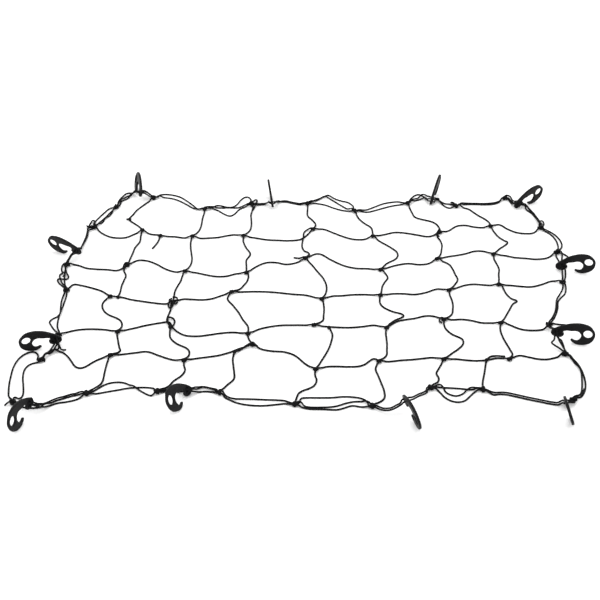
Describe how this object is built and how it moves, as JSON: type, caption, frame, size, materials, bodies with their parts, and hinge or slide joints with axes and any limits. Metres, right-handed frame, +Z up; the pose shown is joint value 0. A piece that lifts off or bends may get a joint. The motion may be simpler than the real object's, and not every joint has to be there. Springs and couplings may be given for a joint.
{
  "type": "elastic cargo net with hooks",
  "caption": "Elastic cord cargo net of square meshes with a doubled border and moulded hooks, lying loosely on a flat surface.",
  "frame": {"origin": "middle of the laid-out net, at the surface it lies on", "axes": "+X along the net's long side, +Y towards the far side as pictured, +Z up"},
  "size_m": [1.347, 1.0696, 0.0596],
  "materials": {
    "cord": "braided black sheath over an elastic core, matt",
    "plastic": "moulded black plastic, satin"
  },
  "bodies": {
    "root": {"net": "cord", "border_cord": "cord", "hook_01": "plastic", "hook_02": "plastic", "hook_03": "plastic", "hook_04": "plastic", "hook_05": "plastic", "hook_06": "plastic", "hook_07": "plastic", "hook_08": "plastic", "hook_09": "plastic", "hook_10": "plastic", "hook_11": "plastic", "hook_12": "plastic"}
  },
  "joints": []
}
